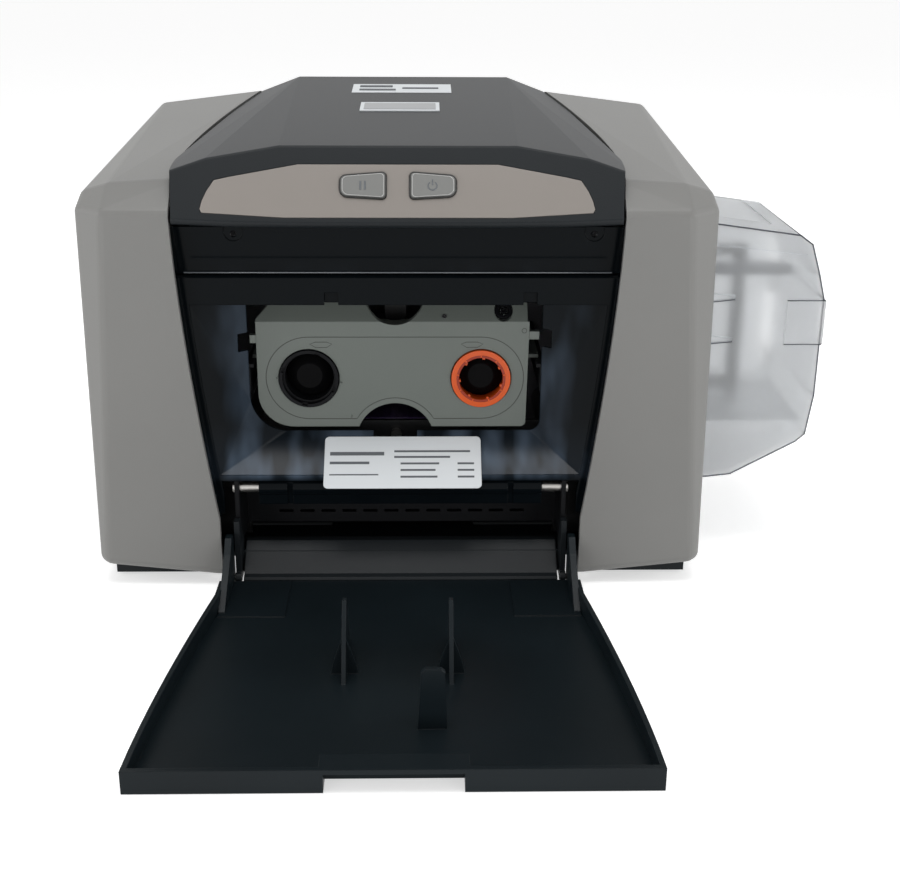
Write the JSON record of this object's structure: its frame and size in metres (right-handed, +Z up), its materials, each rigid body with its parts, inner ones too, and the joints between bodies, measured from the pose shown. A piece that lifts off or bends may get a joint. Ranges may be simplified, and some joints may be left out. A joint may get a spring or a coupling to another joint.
{
  "type": "id card printer",
  "caption": "Desktop card printer with a drop-down front cover over its ribbon bay, a raised top cover with two buttons and a clear card hopper on the right side.",
  "frame": {"origin": "on the table, midway between the four feet", "axes": "+X to the printer's right as seen from the front, +Y to the back, +Z up"},
  "size_m": [0.3983, 0.4195, 0.249],
  "materials": {
    "silver_case": "satin grey moulding with a fine grain",
    "charcoal_plastic": "fine-grained charcoal moulding",
    "taupe_plate": "satin warm grey",
    "button_grey": "satin light grey",
    "gloss_black": "polished black",
    "matte_black": "matt black",
    "navy_black": "satin blue-black",
    "cartridge_grey": "matt olive grey",
    "orange_core": "satin orange",
    "ribbon_dye": "dark film",
    "spindle_plastic": "satin black",
    "gear_plastic": "satin ivory acetal",
    "pinion_brass": "machined",
    "steel_plate": "zinc-plated sheet",
    "steel_bright": "ground bright",
    "head_alloy": "machined",
    "head_ceramic": "smooth",
    "roller_rubber": "matt",
    "pinch_grey": "satin",
    "cleaning_red": "tacky satin",
    "motor_metal": "satin black",
    "board_green": "solder mask",
    "clear_smoke": "lightly smoked clear moulding",
    "weight_dark": "satin dark",
    "label_white": "bare off-white label film",
    "label_ink": "plain dark bars on a label",
    "badge_grey": "bare satin badge plate"
  },
  "bodies": {
    "printer": {"base_tray": "charcoal_plastic", "rubber_feet": "roller_rubber", "left_case": "silver_case", "right_case": "silver_case", "top_cover": "charcoal_plastic", "rear_panel": "charcoal_plastic", "control_plate": "taupe_plate", "button_board": "board_green", "front_frame": "gloss_black", "lower_guard": "matte_black", "tie_rod": "steel_bright", "rod_sleeve": "gloss_black", "cover_hinge_pins": "steel_bright", "cartridge_frame": "cartridge_grey", "ribbon_film": "ribbon_dye", "cartridge_rails": "matte_black", "front_chassis_plate": "steel_plate", "rear_chassis_plate": "steel_plate", "gear_plate": "steel_plate", "ribbon_motor": "motor_metal", "drive_belt": "roller_rubber", "feed_motor": "motor_metal", "head_bridge": "steel_plate", "head_motor": "motor_metal", "main_board": "board_green", "power_inlet": "matte_black", "usb_socket": "steel_plate", "hopper_frame": "charcoal_plastic", "hopper_shell": "clear_smoke", "hopper_hinge_pin": "steel_bright", "case_screws": "steel_bright"},
    "front_cover": {"front_cover": "navy_black"},
    "pause_button": {"pause_button": "button_grey"},
    "power_button": {"power_button": "button_grey"},
    "supply_spool": {"supply_spindle": "spindle_plastic", "supply_core": "matte_black", "supply_ribbon": "ribbon_dye"},
    "takeup_spool": {"takeup_spindle": "spindle_plastic", "takeup_gear": "gear_plastic", "takeup_core": "orange_core", "takeup_ribbon": "ribbon_dye"},
    "ribbon_pinion": {"ribbon_pinion": "pinion_brass"},
    "platen": {"platen_roller": "roller_rubber", "platen_shaft": "steel_bright", "platen_gear": "gear_plastic"},
    "motor_pinion": {"motor_pinion": "pinion_brass"},
    "feed_roller": {"feed_roller": "roller_rubber", "feed_shaft": "steel_bright"},
    "transport_roller": {"transport_roller": "roller_rubber", "transport_shaft": "steel_bright"},
    "pick_roller": {"pick_roller": "roller_rubber", "pick_shaft": "steel_bright"},
    "feed_pinch_roller": {"feed_pinch_roller": "pinch_grey"},
    "transport_pinch_roller": {"transport_pinch_roller": "pinch_grey"},
    "cleaning_roller": {"cleaning_roller": "cleaning_red"},
    "print_head": {"head_carrier": "head_alloy", "print_head": "head_ceramic"},
    "head_pinion": {"head_pinion": "pinion_brass"},
    "hopper_cover": {"hopper_cover": "clear_smoke"},
    "card_weight": {"card_weight": "weight_dark"}
  },
  "joints": [
    {"name": "front_cover_hinge", "type": "hinge", "parent": "printer", "child": "front_cover", "pos_m": [0, -0.1128, 0.0035], "axis": [-1, 0, 0], "range_deg": [0, 90]},
    {"name": "pause_button_press", "type": "slide", "parent": "printer", "child": "pause_button", "axis": [0, 0.829, -0.5593], "range_m": [0, 0.0012], "stiffness_N_per_m": 500, "springref_m": -0.001},
    {"name": "power_button_press", "type": "slide", "parent": "printer", "child": "power_button", "axis": [0, 0.829, -0.5593], "range_m": [0, 0.0012], "stiffness_N_per_m": 500, "springref_m": -0.001},
    {"name": "takeup_spin", "type": "hinge", "parent": "printer", "child": "takeup_spool", "pos_m": [0.044, -0.025, 0.107], "axis": [0, 1, 0], "continuous": true},
    {"name": "supply_spin", "type": "hinge", "parent": "printer", "child": "supply_spool", "pos_m": [-0.05, -0.025, 0.107], "axis": [0, 1, 0], "continuous": true},
    {"name": "ribbon_pinion_spin", "type": "hinge", "parent": "printer", "child": "ribbon_pinion", "pos_m": [0.0632, -0.025, 0.107], "axis": [0, 1, 0], "continuous": true},
    {"name": "platen_spin", "type": "hinge", "parent": "printer", "child": "platen", "pos_m": [-0.003, -0.025, 0.0675], "axis": [0, 1, 0], "continuous": true},
    {"name": "motor_pinion_spin", "type": "hinge", "parent": "printer", "child": "motor_pinion", "pos_m": [-0.003, -0.025, 0.0483], "axis": [0, 1, 0], "continuous": true},
    {"name": "feed_roller_spin", "type": "hinge", "parent": "printer", "child": "feed_roller", "pos_m": [0.088, -0.025, 0.0675], "axis": [0, 1, 0], "continuous": true},
    {"name": "transport_roller_spin", "type": "hinge", "parent": "printer", "child": "transport_roller", "pos_m": [-0.092, -0.025, 0.0675], "axis": [0, 1, 0], "continuous": true},
    {"name": "pick_roller_spin", "type": "hinge", "parent": "printer", "child": "pick_roller", "pos_m": [0.145, -0.025, 0.0675], "axis": [0, 1, 0], "continuous": true},
    {"name": "feed_pinch_spin", "type": "hinge", "parent": "printer", "child": "feed_pinch_roller", "pos_m": [0.088, -0.025, 0.0824], "axis": [0, 1, 0], "continuous": true},
    {"name": "transport_pinch_spin", "type": "hinge", "parent": "printer", "child": "transport_pinch_roller", "pos_m": [-0.092, -0.025, 0.0824], "axis": [0, 1, 0], "continuous": true},
    {"name": "cleaning_roller_spin", "type": "hinge", "parent": "printer", "child": "cleaning_roller", "pos_m": [0.118, -0.025, 0.0824], "axis": [0, 1, 0], "continuous": true},
    {"name": "head_lift", "type": "slide", "parent": "printer", "child": "print_head", "axis": [0, 0, -1], "range_m": [0, 0.007]},
    {"name": "head_pinion_spin", "type": "hinge", "parent": "printer", "child": "head_pinion", "pos_m": [0.0018, 0.005, 0.157], "axis": [0, -1, 0], "range_deg": [0, 83.6]},
    {"name": "hopper_cover_hinge", "type": "hinge", "parent": "printer", "child": "hopper_cover", "pos_m": [0.23, 0.036, 0.11], "axis": [0, 0, 1], "range_deg": [0, 90]},
    {"name": "card_weight_slide", "type": "slide", "parent": "printer", "child": "card_weight", "axis": [0, 0, -1], "range_m": [0, 0.07]}
  ],
  "couplings": [
    {"joint": "ribbon_pinion_spin", "follows": "takeup_spin", "ratio": -3},
    {"joint": "supply_spin", "follows": "takeup_spin", "ratio": 0.7708},
    {"joint": "motor_pinion_spin", "follows": "platen_spin", "ratio": -3},
    {"joint": "feed_roller_spin", "follows": "platen_spin", "ratio": 1},
    {"joint": "transport_roller_spin", "follows": "platen_spin", "ratio": 1},
    {"joint": "pick_roller_spin", "follows": "platen_spin", "ratio": 1},
    {"joint": "feed_pinch_spin", "follows": "platen_spin", "ratio": -1.8},
    {"joint": "transport_pinch_spin", "follows": "platen_spin", "ratio": -1.8},
    {"joint": "cleaning_roller_spin", "follows": "platen_spin", "ratio": -1.8},
    {"joint": "head_pinion_spin", "follows": "head_lift", "rad_per_m": 208.33}
  ]
}
